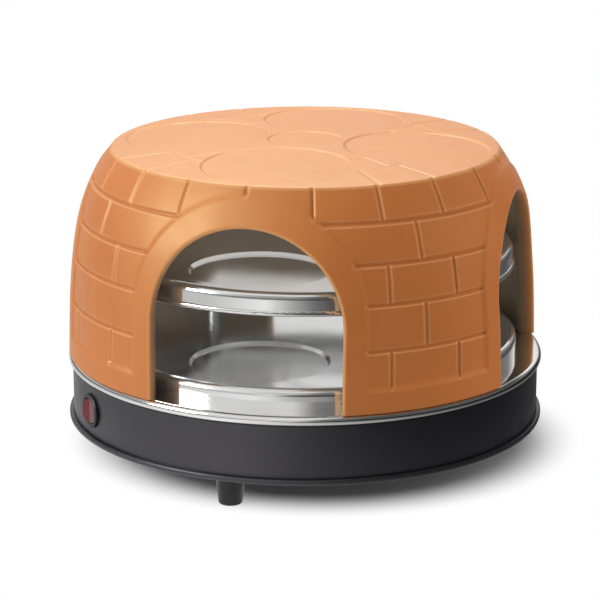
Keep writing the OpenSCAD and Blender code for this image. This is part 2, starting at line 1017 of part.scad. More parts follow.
module switch_housing() {
    well_h = rocker_h + 2 * swing_gap;
    color("#161617")
        on_wall(switch_turn, 0, cover_z + switch_z)
            difference() {
                union() {
                    translate([0, 0, base_r - switch_depth])
                        cylinder(h = switch_depth + bezel_t / 2, d = switch_body_d);
                    translate([0, 0, base_r])
                        cylinder(h = bezel_t - bezel_edge, d = bezel_d);
                    translate([0, 0, base_r + bezel_t - bezel_edge])
                        cylinder(h = bezel_edge, d1 = bezel_d, d2 = bezel_d - 2 * bezel_edge);
                }
                intersection() {
                    translate([0, 0, pivot_r])
                        rotate([90, 0, 0])
                            cylinder(h = well_h, r = swing_r + swing_gap, center = true);
                    translate([0, 0, base_r - switch_depth + switch_floor])
                        cylinder(h = switch_depth + bezel_t, r = well_round);
                }
                translate([0, 0, pivot_r])
                    rotate([90, 0, 0])
                        cylinder(h = well_h + 2 * (pin_hold + pin_hole_end), r = pin_r, center = true);
                translate([0, 0, base_r - switch_depth + lamp_in])
                    rotate([90, 0, 0])
                        cylinder(h = rocker_h - lamp_short + fit, d = lamp_d + fit, center = true);
            }
}

// The rocker's section in its middle position: a shallow V over a round back
module rocker_section() {
    intersection() {
        circle(r = swing_r);
        polygon([
            [-swing_r, face_out + swing_r * tan(rocker_tilt)],
            [0, face_out],
            [swing_r, face_out + swing_r * tan(rocker_tilt)],
            [swing_r, -rocker_back],
            [-swing_r, -rocker_back]
        ]);
    }
}

module switch_rocker() {
    color("#6e0410")
        on_wall(switch_turn, 0, cover_z + switch_z)
            translate([0, 0, pivot_r])
                rotate([0, rocker_tilt, 0])
                    difference() {
                        intersection() {
                            rotate([90, 0, 0])
                                linear_extrude(height = rocker_h, center = true)
                                    rocker_section();
                            cylinder(h = 4 * swing_r, r = rocker_round, center = true);
                        }
                        rotate([90, 0, 0])
                            cylinder(h = rocker_h * 2, r = pin_r + fit / 2, center = true);
                    }
}

module rocker_pin() {
    color("#9b9ea2")
        on_wall(switch_turn, 0, cover_z + switch_z)
            translate([0, 0, pivot_r])
                rotate([90, 0, 0])
                    cylinder(h = rocker_h + 2 * (swing_gap + pin_hold), r = pin_r, center = true);
}

module switch_lamp() {
    color("#f2b8a0")
        on_wall(switch_turn, 0, cover_z + switch_z)
            translate([0, 0, base_r - switch_depth + lamp_in])
                rotate([90, 0, 0])
                    cylinder(h = rocker_h - lamp_short, d = lamp_d, center = true);
}

module switch_tabs() {
    color("#c8a557")
        on_wall(switch_turn, 0, cover_z + switch_z)
            for (k = [-1:1])
                translate([tab_pitch * k - tab_t / 2, -tab_w / 2, base_r - switch_depth - tab_l])
                    cube([tab_t, tab_w, tab_l]);
}

// ---------------------------------------------------------------- leads

// An arc of wire, with a crimp standing on each end
module wire(r, z, a0, a1, d) {
    translate([0, 0, z])
        rotate([0, 0, a0 - 90])
            rotate_extrude(angle = a1 - a0)
                translate([r, 0])
                    circle(d = d);
    for (a = [a0, a1])
        at_turn(a, r)
            translate([0, 0, z - d])
                cylinder(h = d * 2, d = d * crimp_ratio);
}

module wire_live() {
    color("#7a4a2a")
        wire(wire_out_r, wire_z, wire_switch_end, wire_gland_end, wire_d);
}

module wire_neutral() {
    color("#2f5d9e")
        wire(wire_out_r - wire_pitch, wire_z, wire_switch_end, wire_gland_end, wire_d);
}

module wire_earth() {
    color("#9aa83a")
        wire(wire_out_r - 2 * wire_pitch, wire_z, earth_start, wire_gland_end, wire_d);
}

module earth_stud() {
    color("#c8a557")
        at_turn(stud_turn, wire_out_r - 2 * wire_pitch) {
            translate([0, 0, floor_z])
                cylinder(h = stud_h, d = screw_d);
            translate([0, 0, floor_z + stud_nut_up])
                hex_bar(nut_w, nut_h);
        }
}

// ---------------------------------------------------------------- cord gland

module cord_gland() {
    flange_d = gland_neck_d + 2 * gland_lap;
    color("#1a1a1b")
        on_wall(gland_turn, 0, cover_z + gland_z)
            difference() {
                union() {
                    translate([0, 0, base_r - gland_in])
                        cylinder(h = gland_in + over, d = gland_neck_d);
                    translate([0, 0, base_r])
                        cylinder(h = gland_flange - gland_edge, d = flange_d);
                    translate([0, 0, base_r + gland_flange - gland_edge])
                        cylinder(h = gland_edge, d1 = flange_d, d2 = flange_d - 2 * gland_edge);
                }
                translate([0, 0, base_r - gland_in - over])
                    cylinder(h = gland_in + gland_flange + 2 * over, d = lead_d);
            }
}

module gland_nut() {
    color("#1a1a1b")
        on_wall(gland_turn, 0, cover_z + gland_z)
            translate([0, 0, base_r - sheet_t - over - gland_nut_h])
                hex_nut(gland_neck_d + gland_nut_lap, gland_nut_h, gland_neck_d);
}

module cord_clamp() {
    color("#d8d8d2")
        at_turn(gland_turn, base_r - clamp_in)
            difference() {
                union() {
                    translate([-clamp_w / 2, -clamp_depth / 2, floor_z])
                        cube([clamp_w, clamp_depth, clamp_post_h]);
                    translate([-clamp_w / 2, -clamp_depth / 2, cover_z + gland_z + lead_d / 2])
                        cube([clamp_w, clamp_depth, clamp_bar_h]);
                }
                for (s = [-1, 1])
                    translate([clamp_screw_x * s, 0, floor_z + clamp_hole_floor])
                        cylinder(h = base_h, d = clamp_screw_d);
            }
}

module clamp_screws() {
    shank = clamp_post_h + lead_d + clamp_bar_h - clamp_hole_floor;
    color("#9b9ea2")
        at_turn(gland_turn, base_r - clamp_in)
            for (s = [-1, 1])
                translate([clamp_screw_x * s, 0, floor_z + clamp_hole_floor]) {
                    cylinder(h = shank, d = clamp_screw_d);
                    translate([0, 0, shank])
                        cylinder(h = clamp_head_h, d = clamp_head_d);
                }
}

dome_cover();
rim_deck();
lower_plate();
upper_plate();
base_wall();
bottom_cover();
foot_n(0);  // foot_1
foot_n(1);  // foot_2
foot_n(2);  // foot_3
foot_screws();
foot_nuts();
switch_housing();
switch_rocker();
rocker_pin();
switch_lamp();
switch_tabs();
post_n(0);  // post_1
post_n(1);  // post_2
post_n(2);  // post_3
post_n(3);  // post_4
post_rods();
post_nuts();
cap_nuts();
lower_element();
upper_element();
lower_clips();
upper_clips();
element_pins();
reflector_pan();
insulation_pad();
heat_shield();
thermostat();
thermal_fuse();
terminal_block();
wire_live();
wire_neutral();
wire_earth();
cord_gland();
gland_nut();
cord_clamp();
clamp_screws();
earth_stud();
cover_screws();
deck_brackets();
deck_nuts();
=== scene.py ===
# %% [markdown]
# # A terracotta oven for small pizzas
# The oven is a heavy clay dome with four arches. It stands loose on a round, dark base that is
# heated by electricity, over two chrome baking tiers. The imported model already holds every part
# at its right size and place, so this script only dresses it. It gives each part its finish, and
# it models two parts again: the clay dome with soft moulded brickwork, and the chrome rim with a
# smooth edge.

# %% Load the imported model
import math

import bmesh
import bpy
import numpy as np
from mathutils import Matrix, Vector


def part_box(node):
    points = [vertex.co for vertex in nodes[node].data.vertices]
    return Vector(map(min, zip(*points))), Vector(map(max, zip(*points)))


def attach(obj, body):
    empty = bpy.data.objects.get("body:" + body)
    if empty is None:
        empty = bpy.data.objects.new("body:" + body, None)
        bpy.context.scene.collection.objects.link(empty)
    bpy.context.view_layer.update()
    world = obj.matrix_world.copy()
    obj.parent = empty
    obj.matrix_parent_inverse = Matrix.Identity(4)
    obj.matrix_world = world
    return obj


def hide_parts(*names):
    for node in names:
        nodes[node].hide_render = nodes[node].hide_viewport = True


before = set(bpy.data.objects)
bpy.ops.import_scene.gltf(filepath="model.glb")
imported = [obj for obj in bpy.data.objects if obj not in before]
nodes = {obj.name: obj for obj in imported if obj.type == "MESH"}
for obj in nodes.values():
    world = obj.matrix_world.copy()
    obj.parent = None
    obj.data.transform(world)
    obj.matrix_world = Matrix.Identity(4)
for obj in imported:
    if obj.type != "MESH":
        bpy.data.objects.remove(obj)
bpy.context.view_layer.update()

# %% [markdown]
# ## The camera
# A product photographer stands well back with a long lens, so that the round base doesn't bulge.
# The camera here is 1.84 m away with a 147 mm lens, 14.7 degrees to the right of the front arch,
# and looks down at 15.7 degrees. A sideways shift centres the frame as the photographer did.

# %% Place the camera
camera_distance = 1.740
camera_height = 0.5964
camera_turn = math.radians(14.7)
camera_pitch = math.radians(15.70)
lens_mm = 146.8
camera_data = bpy.data.cameras.new("studio_camera")
camera_data.lens = lens_mm
camera_data.sensor_width = 36
camera_data.shift_x = -0.0085
camera = bpy.data.objects.new("studio_camera", camera_data)
bpy.context.collection.objects.link(camera)
camera.location = (
    camera_distance * math.sin(camera_turn),
    -camera_distance * math.cos(camera_turn),
    camera_height,
)
camera.rotation_euler = (math.pi / 2 - camera_pitch, 0, camera_turn)
bpy.context.scene.camera = camera
print("camera at", [round(v, 3) for v in camera.location])

# %% [markdown]
# ## The dome's outline
# The dome is cast clay. Seen from the side, its wall leans in a little over its whole height and
# then turns in late and fast at the shoulder, which a power of the height describes well. Its
# top rises by a few millimetres towards the middle. All sizes in this part of the lesson are
# millimetres above the dome's foot, and one factor turns them into metres at the end.

# %% The dome's outline
MM = 0.001
dome_out = 2.8
foot_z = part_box("dome_cover")[0].z / MM
dome_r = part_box("base_wall")[1].x / MM + dome_out
dome_h = 151
taper = 4
shoulder_in = 28.8
shoulder_power = 3.7
crown_rise = 4
clay_t = 12


def side_r(h):
    """Radius of the dome's smooth outer side at height h."""
    part = h / dome_h
    return dome_r - taper * part - shoulder_in * part**shoulder_power


def crown_z(r):
    """Height of the dome's smooth top at radius r."""
    return dome_h + crown_rise * (1 - (r / side_r(dome_h)) ** 2)


print("radius at the foot and at the top:", round(dome_r, 1), round(side_r(dome_h), 1))

# %% [markdown]
# ## Where the brickwork runs
# The mould presses a brick pattern into each of the four piers. The bricks lie 1.5 mm deeper
# than a smooth band round each arch and a border round the foot, and the joints between them are
# another 1.3 mm deep. Each of these shapes is written as a distance: how far a point of the wall
# is from the band, from a level joint or from an upright one. A soft step then turns a distance
# into a depth, so every edge comes out rounded, as clay does. A step's lead is how much of it is
# already done on the line itself. A joint isn't even: the brick above it or on its left rolls in
# gently, and the brick below it or on its right has a crisp lip that catches the light. The
# brickwork sits a degree off the middle of each pier.

# %% Soft steps and distances
arch_half = 67.5
arch_spring = 57
band_w = 15.5
band_rise = 4.4
band_proud = 1.5
border_h = 16.5
joint_deep = 1.3
course_z = np.cumsum([border_h, 26, 31.5, 27, 26.5])
brick_turn = 9
brick_shift = -1.2
top_bricks = 20
joint_flat = 0.15
joint_gentle = 2.9
joint_steep = 1.0
joint_lead = 0.3
step_w = 2.4
band_step = 5.0
band_lead = 0.4


def soft(v):
    """A step from 0 to 1 with rounded ends."""
    v = np.clip(v, 0, 1)
    return v * v * (3 - 2 * v)


def joint(distance):
    """1 in the bottom of a joint, 0 outside it. Its gentle side is where distance is above 0."""
    slope = np.where(distance > 0, joint_gentle, joint_steep)
    return 1 - soft((np.abs(distance) - joint_flat) / slope)


def arch_gap(x, h, half, spring):
    """Distance from an arch's outline, above 0 outside the opening."""
    over = np.maximum(h - spring, 0)
    return np.hypot(x, over) - half


def arch_angle(turn):
    """Angle from the middle of the nearest arch, in degrees."""
    return turn - 90 * np.round(turn / 90)


# %% How deep the side is pressed in
def side_relief(turn, h):
    """Depth of the pressed pattern on the side, at an angle in degrees and a height."""
    radius = side_r(h)
    across = radius * np.sin(np.radians(arch_angle(turn)))
    band = arch_gap(across, h, arch_half + band_w, arch_spring + band_rise)
    field = np.minimum(band, h - border_h)
    joints = np.max([joint(h - z) for z in course_z[1:]], axis=0)
    from_pier = arch_angle(turn + 45 - brick_shift)
    for course in range(4):
        inside = (h >= course_z[course]) & (h <= course_z[course + 1])
        for offset in (-brick_turn, brick_turn) if course % 2 == 0 else (0,):
            upright = joint(radius * np.radians(offset - from_pier))
            joints = np.maximum(joints, np.where(inside, upright, 0))
    pitch = 360 / top_bricks
    from_top = (turn - brick_shift + pitch / 2) % pitch - pitch / 2
    upright = joint(-radius * np.radians(from_top))
    joints = np.maximum(joints, np.where(h > course_z[4], upright, 0))
    joints = joints * soft(field / step_w + joint_lead)
    return band_proud * soft(field / band_step + band_lead) + joint_deep * joints


# %% [markdown]
# ## The pattern on top
# The dome's top carries four large shallow circles with a small one in the middle, and curved
# paving between them. It is written in the same way, from distances to the circles' edges and to
# the joints.

# %% How deep the top is pressed in
circle_half = 51.8
circle_r = 82.4
middle_half = 27.4
circle_lead = 0.5
top_deep = 1
seam_part = 0.6
paving_in = 70
paving_out = 100


def top_relief(x, y):
    """Depth of the pressed pattern on top, at a place in millimetres."""
    radius = np.hypot(x, y)
    turn = np.degrees(np.arctan2(x, -y))
    inside = middle_half - radius
    for k in range(4):
        a = math.pi / 2 * k
        away = np.hypot(x - circle_r * math.sin(a), y + circle_r * math.cos(a))
        inside = np.maximum(inside, circle_half - away)
    from_pier = np.radians(arch_angle(turn + 45))
    seams = np.maximum(joint(radius - paving_out), joint(radius - paving_in))
    for offset in (-brick_turn, brick_turn):
        seam = joint(radius * (math.radians(offset) - from_pier))
        seams = np.maximum(seams, np.where(radius > paving_out, seam, 0))
    seam = joint(radius * (math.radians(brick_turn / 2) - from_pier))
    between = (radius > paving_in) & (radius < paving_out)
    seams = np.maximum(seams, np.where(between, seam, 0)) * soft(-inside / step_w)
    return top_deep * np.maximum(soft(inside / step_w + circle_lead), seam_part * seams)


# %% [markdown]
# ## A net of points on the wall
# A sculptor would press the pattern into the dome by hand. Here a net of points is laid over the
# wall, and each point is pushed in by the depth found above. The net has a column every 0.31
# degrees. Its rows lie closer together where joints run level. Where the net crosses an arch it
# is cut along the outline exactly, so the opening's edge is a clean curve and not a staircase.

# %% Lay out the net
top_cells = 288
columns = 4 * top_cells
edge_round = 3.0
foot_round = 1.2
rim_round = 2.4
rim_h = dome_h - rim_round
joint_rows = np.arange(-2.4, 2.5, 0.6)
foot_rows = [0, 0.15, 0.5, foot_round]
low_start = 3
low_step = 2.0
high_step = 1.05
least_step = 0.45
last_gap = 0.5


def row_heights():
    """Heights of the net's rows: dense at the level joints and over the arches."""
    dense = [z + d for z in course_z for d in joint_rows]
    low = np.arange(low_start, arch_spring, low_step)
    high = np.arange(arch_spring, rim_h - last_gap, high_step)
    found = sorted(foot_rows + dense + list(low) + list(high) + [rim_h])
    kept = [found[0]]
    for h in found[1:]:
        if h - kept[-1] > least_step or h in foot_rows:
            kept.append(h)
    kept[-1] = rim_h
    return np.array(kept)


rows = row_heights()
turns = -180 + np.arange(columns) * 360 / columns
net_turn, net_h = np.meshgrid(turns, rows)
print("net:", len(rows), "rows of", columns)


# %% Move the points nearest to an arch onto its outline
snap_reach = 0.22
snap_small = 0.01
almost_zero = 1e-9


def opening_gap(turn, h):
    """Distance outside the line where an arch's rounded edge begins."""
    across = side_r(h) * np.sin(np.radians(arch_angle(turn)))
    return arch_gap(across, h, arch_half + edge_round, arch_spring)


def snapped(turn, h):
    """The net with its nearest points moved straight onto the outlines, and each point's gap."""
    gap = opening_gap(turn, h)
    slope_t = (opening_gap(turn + snap_small, h) - gap) / snap_small
    slope_h = (opening_gap(turn, h + snap_small) - gap) / snap_small
    millimetres = (side_r(h) * math.pi / 180) ** 2
    push = gap / (slope_t**2 / millimetres + slope_h**2 + almost_zero)
    near = (np.abs(gap) < snap_reach) & (h > snap_small)
    turn = np.where(near, turn - push * slope_t / millimetres, turn)
    h = np.where(near, h - push * slope_h, h)
    return turn, h, np.where(near, 0, gap)


net_turn, net_h, net_gap = snapped(net_turn, net_h)
print("points moved onto the outlines:", int((net_gap == 0).sum()))

# %% Cut the net along the arches
cut_halvings = 24
net_points = list(zip(net_turn.ravel(), net_h.ravel()))
gaps = net_gap.ravel()
crossings = {}


def crossing(a, b):
    """The number of the point where the net's line from a to b meets an arch's outline."""
    key = (min(a, b), max(a, b))
    if key not in crossings:
        (ta, ha), (tb, hb) = net_points[key[0]], net_points[key[1]]
        tb = ta + (tb - ta + 180) % 360 - 180
        low, high = 0.0, 1.0
        start = gaps[key[0]] > 0
        for _ in range(cut_halvings):
            mid = (low + high) / 2
            there = opening_gap(ta + (tb - ta) * mid, ha + (hb - ha) * mid) > 0
            low, high = (mid, high) if there == start else (low, mid)
        crossings[key] = len(net_points)
        net_points.append((ta + (tb - ta) * low, ha + (hb - ha) * low))
    return crossings[key]


def on_outline(p):
    """Whether a point lies on an outline: it was moved there, or it is a crossing."""
    return p >= len(gaps) or gaps[p] == 0


def outline_edges(polygon):
    """The sides of a face that lie on an arch's outline."""
    sides = zip(polygon, polygon[1:] + polygon[:1])
    return [(a, b) for a, b in sides if on_outline(a) and on_outline(b)]


def trimmed(quad):
    """What is left of a four-sided face outside the arch."""
    polygon = []
    for a, b in zip(quad, quad[1:] + quad[:1]):
        if gaps[a] >= 0:
            polygon.append(a)
        if gaps[a] * gaps[b] < 0:
            polygon.append(crossing(a, b))
    return polygon


index = np.arange(net_turn.size).reshape(net_turn.shape)
beside = np.roll(index, -1, 1)
quads = np.stack([index[:-1], beside[:-1], beside[1:], index[1:]], -1).reshape(-1, 4)
signs = gaps[quads]
whole = (signs >= 0).all(1) & (signs > 0).any(1)
cut_faces = quads[whole].tolist()
cut_edges = []
for quad in quads[whole][(signs[whole] == 0).sum(1) >= 2].tolist():
    cut_edges += outline_edges(quad)
for quad in quads[(signs > 0).any(1) & (signs < 0).any(1)].tolist():
    polygon = trimmed(quad)
    if len(polygon) > 2:
        cut_faces.append(polygon)
        cut_edges += outline_edges(polygon)
cut_points = np.array(net_points)
print("after cutting:", len(cut_points), "points,", len(cut_faces), "faces")

# %% [markdown]
# ## Painted highlights on edges, painted shade in joints
# The clay's raised edges get a painted highlight and its joints a painted shade, in its colour.
# A point's mark for this is how far it stands out above the places round it: more than 0 on an
# edge that sticks out, less than 0 in the bottom of a joint. Every point of the dome carries this
# number, and a second one that says how far inside the oven it lies. The finish of the clay reads
# both later.

# %% How far a point stands out from its surroundings
light_shade_reach = 1.3


def side_light_shade(turn, h):
    """How far the side stands out at a place, against places 1.3 mm away."""
    across = np.degrees(light_shade_reach / side_r(h))
    low = np.maximum(h - light_shade_reach, 0)
    around = (side_relief(turn + across, h) + side_relief(turn - across, h)
              + side_relief(turn, h + light_shade_reach) + side_relief(turn, low)) / 4
    return around - side_relief(turn, h)


def top_light_shade(x, y):
    """The same on top."""
    around = (top_relief(x + light_shade_reach, y) + top_relief(x - light_shade_reach, y)
              + top_relief(x, y + light_shade_reach) + top_relief(x, y - light_shade_reach)) / 4
    return around - top_relief(x, y)


# This prints the painted shade mark in the middle of a joint, which is below 0.
print("wear in the middle of a joint:", round(float(side_light_shade(45.0 + brick_shift, 60.0)), 2))

# %% [markdown]
# ## From the flat net to clay of real thickness
# The clay is 12 mm thick, so every point of the net gets a twin on the dome's inner side. Beside
# an arch the twin sits straight behind its point, because the openings run straight through.
# Towards the middle of a pier the two drift back to the same angle. Near the foot both sides
# curve in a little, which rounds the edges that the dome stands on.

# %% Outer side, inner side and the twins
ceiling_h = dome_h - clay_t
twin_over = 3.5
twin_beside = 6
twin_h = arch_spring + arch_half + twin_over
twin_x = arch_half + twin_beside


def foot_curve(h):
    """How far the rounded edge at the foot draws in."""
    up = np.clip(foot_round - h, 0, foot_round)
    return foot_round - np.sqrt(foot_round**2 - up**2)


def outer_point(turn, h):
    """Place of a net point on the outer side."""
    radius = side_r(h) - side_relief(turn, h) - foot_curve(h)
    a = np.radians(turn)
    return np.stack([radius * np.sin(a), -radius * np.cos(a), h], -1)


def inner_point(turn, h):
    """Place of the same net point's twin on the inner side."""
    low = h <= twin_h
    squeeze = (ceiling_h - twin_h) / (rim_h - twin_h)
    inner_h = np.where(low, h, twin_h + (h - twin_h) * squeeze)
    outer_r = side_r(h)
    inner_r = side_r(inner_h) - clay_t + foot_curve(h)
    offset = arch_angle(turn)
    across = outer_r * np.sin(np.radians(np.abs(offset)))
    limit_out = np.degrees(np.arcsin(twin_x / outer_r))
    limit_in = np.degrees(np.arcsin(twin_x / inner_r))
    beside = np.degrees(np.arcsin(np.minimum(across, twin_x) / inner_r))
    part = (np.abs(offset) - limit_out) / (45 - limit_out)
    behind = np.where(part > 0, limit_in + part * (45 - limit_in), beside)
    a = np.radians(turn - offset + np.sign(offset) * behind)
    return np.stack([inner_r * np.sin(a), -inner_r * np.cos(a), inner_h], -1)


# %% [markdown]
# ## Rounded edges through the openings
# Fired clay never has sharp edges. From the cut line the surface rolls in over a quarter circle,
# runs straight through the wall and rolls out again inside. That strip is swept along each arch
# from its left foot to its right foot.

# %% Order the cut edges into one path for each arch
tiny = 1e-6


def arch_paths(edges, points):
    """For each arch, its cut points from the left foot to the right foot."""
    beside = {}
    for a, b in edges:
        beside.setdefault(a, set()).add(b)
        beside.setdefault(b, set()).add(a)
    paths = []
    for k in range(4):
        feet = [p for p in beside if points[p][1] < tiny
                and round(points[p][0] / 90) % 4 == k]
        feet.sort(key=lambda p: arch_angle(points[p][0]))
        path = [feet[0]]
        before = None
        while path[-1] != feet[-1]:
            step = [p for p in beside[path[-1]] if p != before]
            before = path[-1]
            path.append(step[0])
        paths.append(path)
    return paths


paths = arch_paths(set(tuple(sorted(e)) for e in cut_edges), cut_points)
print("points on the arches' edges:", [len(p) for p in paths])


# %% The strip through one arch
round_steps = 5
# The arches' rounded edges and the top's rim get a painted highlight of this strength.
edge_highlight = 0.25


def arch_strip(path, points):
    """Rows of points from the outer cut line through the wall to the inner one."""
    turn = points[path][:, 0]
    h = points[path][:, 1]
    middle = 90 * np.round(turn / 90)
    x = side_r(h) * np.sin(np.radians(turn - middle))
    over = np.maximum(h - arch_spring, 0)
    length = np.hypot(x, over)
    along_x = x / length
    along_h = over / length
    edge_x = x - along_x * edge_round
    edge_h = h - along_h * edge_round
    columns_out = []
    for side in ("out", "in"):
        steps = range(1, round_steps + 1)
        for step in steps if side == "out" else reversed(steps):
            angle = math.pi / 2 * step / round_steps
            off = edge_round * (1 - math.sin(angle))
            deep = edge_round * (1 - math.cos(angle))
            px = edge_x + along_x * off
            ph = np.maximum(edge_h + along_h * off, 0)
            if side == "out":
                radius = side_r(ph) - foot_curve(ph)
                py = np.sqrt(radius**2 - px**2) - deep
            else:
                radius = side_r(ph) - clay_t + foot_curve(ph)
                py = np.sqrt(radius**2 - px**2) + deep
            a = np.radians(middle)
            columns_out.append(np.stack([px * np.cos(a) + py * np.sin(a),
                                         px * np.sin(a) - py * np.cos(a), ph], -1))
    return columns_out


# %% [markdown]
# ## The top
# A round top made of rings would crowd its points in the middle. A square net bent into a circle
# keeps them evenly spaced, and its border has exactly as many points as the wall has columns, so
# the two can be sewn together over a small rounded rim.

# %% The top's net
rim_in = 1.3 * rim_round
rim_out = 0.6 * rim_round
rim_lift = 0.05
rim_steps = 5
top_edge_r = side_r(dome_h) - rim_in


def top_net():
    """Points and faces of the round top, and the border's point for each column."""
    across = np.linspace(-1, 1, top_cells + 1)
    a, b = np.meshgrid(across, across)
    wide = np.abs(a) >= np.abs(b)
    safe_a = np.where(a == 0, almost_zero, a)
    safe_b = np.where(b == 0, almost_zero, b)
    radius = np.where(wide, a, b)
    angle = np.where(wide, math.pi / 4 * b / safe_a, math.pi / 2 - math.pi / 4 * a / safe_b)
    east = radius * np.cos(angle) * top_edge_r
    north = radius * np.sin(angle) * top_edge_r
    x, y = north, -east
    z = crown_z(np.hypot(x, y)) - top_relief(x, y)
    points = np.stack([x, y, z], -1).reshape(-1, 3)
    index = np.arange(points.shape[0]).reshape(a.shape)
    quads = np.stack([index[:-1, :-1], index[:-1, 1:], index[1:, 1:], index[1:, :-1]], -1)
    border = np.unique(np.concatenate([index[0], index[-1], index[:, 0], index[:, -1]]))
    turn = np.degrees(np.arctan2(points[border, 0], -points[border, 1]))
    column = np.round((turn + 180) / 360 * columns).astype(int) % columns
    by_column = np.empty(columns, dtype=int)
    by_column[column] = border
    return points, quads.reshape(-1, 4).tolist(), by_column


# %% [markdown]
# ## Sewing the dome together
# All the pieces of surface go into one store, which gives every point a number. Faces are lists
# of these numbers. Wherever two pieces meet they use the same points, so the finished dome is one
# closed skin without a single open edge.

# %% A store for points and faces
blocks = []
faces = []


def put(points, painted_light=0.0, within=0.0):
    """Stores points with their painted light mark and their depth inside. Gives the points'
    numbers.
    """
    start = sum(len(block) for block in blocks)
    facts = [np.broadcast_to(fact, len(points)) for fact in (painted_light, within)]
    blocks.append(np.column_stack([points, *facts]))
    return np.arange(start, start + len(points))


def sew(low, high):
    """Faces between two closed rings of points."""
    faces.extend(np.stack([low, np.roll(low, -1), np.roll(high, -1), high], -1).tolist())


# %% The wall's two sides and its foot
turn, h = cut_points[:, 0], cut_points[:, 1]
outer = put(outer_point(turn, h), side_light_shade(turn, h))
inner = put(inner_point(turn, h), 0.0, 1.0)
for face in cut_faces:
    faces.append([outer[p] for p in face])
    faces.append([inner[p] for p in reversed(face)])
for face in cut_faces:
    for a, b in zip(face, face[1:] + face[:1]):
        if h[a] < tiny and h[b] < tiny:
            faces.append([outer[b], outer[a], inner[a], inner[b]])
print("wall:", len(faces), "faces")

# %% The strips through the arches
for path in paths:
    strip = [outer[path]]
    for step, points in enumerate(arch_strip(path, cut_points)):
        outside = step < round_steps
        strip.append(put(points, edge_highlight if outside else 0.0, 0.0 if outside else 1.0))
    strip.append(inner[path])
    for left, right in zip(strip, strip[1:]):
        for i in range(len(path) - 1):
            faces.append([left[i], right[i], right[i + 1], left[i + 1]])
    faces.append([row[0] for row in strip])
    faces.append([row[-1] for row in reversed(strip)])
print("with the strips:", len(faces), "faces")

# %% The small rounded rim and the top
top_row = np.arange(columns) + (len(rows) - 1) * columns
top_a = np.radians(turn[top_row])
wall_end = outer_point(turn[top_row], h[top_row])
top_points, top_faces, border = top_net()
top = put(top_points, top_light_shade(top_points[:, 0], top_points[:, 1]))
top_start = top_points[border]
corner_r = np.hypot(wall_end[:, 0], wall_end[:, 1]) - rim_out
corner = np.stack([corner_r * np.sin(top_a), -corner_r * np.cos(top_a),
                   top_start[:, 2] + rim_lift], -1)
rings = [outer[top_row]]
for step in range(1, rim_steps):
    t = step / rim_steps
    ring = (1 - t) ** 2 * wall_end + 2 * t * (1 - t) * corner + t * t * top_start
    rings.append(put(ring, edge_highlight))
rings.append(top[border])
for low, high in zip(rings, rings[1:]):
    sew(low, high)
faces += [[top[p] for p in face] for face in top_faces]

# %% The ceiling inside
ceiling_radii = (125, 90, 50)
ceiling = [inner[top_row]]
for radius in ceiling_radii:
    flat = np.full(columns, ceiling_h)
    ceiling.append(put(np.stack([radius * np.sin(top_a), -radius * np.cos(top_a), flat], -1),
                       0.0, 1.0))
for low, high in zip(ceiling, ceiling[1:]):
    sew(high, low)
centre = put(np.array([[0, 0, ceiling_h]]), 0.0, 1.0)[0]
for a, b in zip(ceiling[-1], np.roll(ceiling[-1], -1)):
    faces.append([b, a, centre])
print("with the top and the ceiling:", len(faces), "faces")


# %% From faces to a part
def smooth_part(work, mesh, sharp):
    """Turns a mesh at work into a smooth part, with crisp edges where they are sharp (degrees)."""
    bmesh.ops.recalc_face_normals(work, faces=work.faces)
    open_edges = sum(1 for edge in work.edges if len(edge.link_faces) != 2)
    work.to_mesh(mesh)
    work.free()
    mesh.shade_smooth()
    mesh.set_sharp_from_angle(angle=math.radians(sharp))
    part = bpy.data.objects.new(mesh.name, mesh)
    bpy.context.collection.objects.link(part)
    print(mesh.name, "has", len(mesh.polygons), "faces, open edges:", open_edges)
    return part


# %% The clay dome
store = np.concatenate(blocks)
dome_points = (store[:, :3] + (0, 0, foot_z)) * MM
mesh = bpy.data.meshes.new("clay_dome")
mesh.from_pydata(dome_points.tolist(), [], faces)
for name, column in (("painted_light_shade", 3), ("inside", 4)):
    mesh.attributes.new(name, "FLOAT", "POINT").data.foreach_set("value", store[:, column].copy())
work = bmesh.new()
work.from_mesh(mesh)
loose = [v for v in work.verts if not v.link_faces]
bmesh.ops.delete(work, geom=loose, context="VERTS")
clay_dome = smooth_part(work, mesh, sharp=50)
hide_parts("dome_cover")
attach(clay_dome, "dome")

# %% [markdown]
# ## The rim, turned like a plate on a lathe
# On the real oven the rim is a ring of chromed sheet, rolled over at its edge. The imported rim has
# flat facets, which show as ticks along a polished edge. So it is turned again in 720 steps, as
# two closed profiles: the flat sheet that the dome stands on, and the rolled bead outside it. The
# four studs under the sheet are turned the same way, each round its own axis.

# %% A lathe
rim_turns = 720
stud_turns = 32


def turned(work, profile, steps, x=0.0, y=0.0):
    """Turns a closed (radius, height) profile round an upright axis at x, y."""
    rings = []
    for r, z in profile:
        angles = [2 * math.pi * i / steps for i in range(steps if r else 1)]
        rings.append([work.verts.new(((x + r * math.cos(a)) * MM, (y + r * math.sin(a)) * MM,
                                      z * MM)) for a in angles])
    for low, high in zip(rings, rings[1:] + rings[:1]):
        for i in range(steps):
            j = i + 1
            corners = [low[i % len(low)], low[j % len(low)],
                       high[j % len(high)], high[i % len(high)]]
            corners = list(dict.fromkeys(corners))
            if len(corners) > 2:
                work.faces.new(corners)


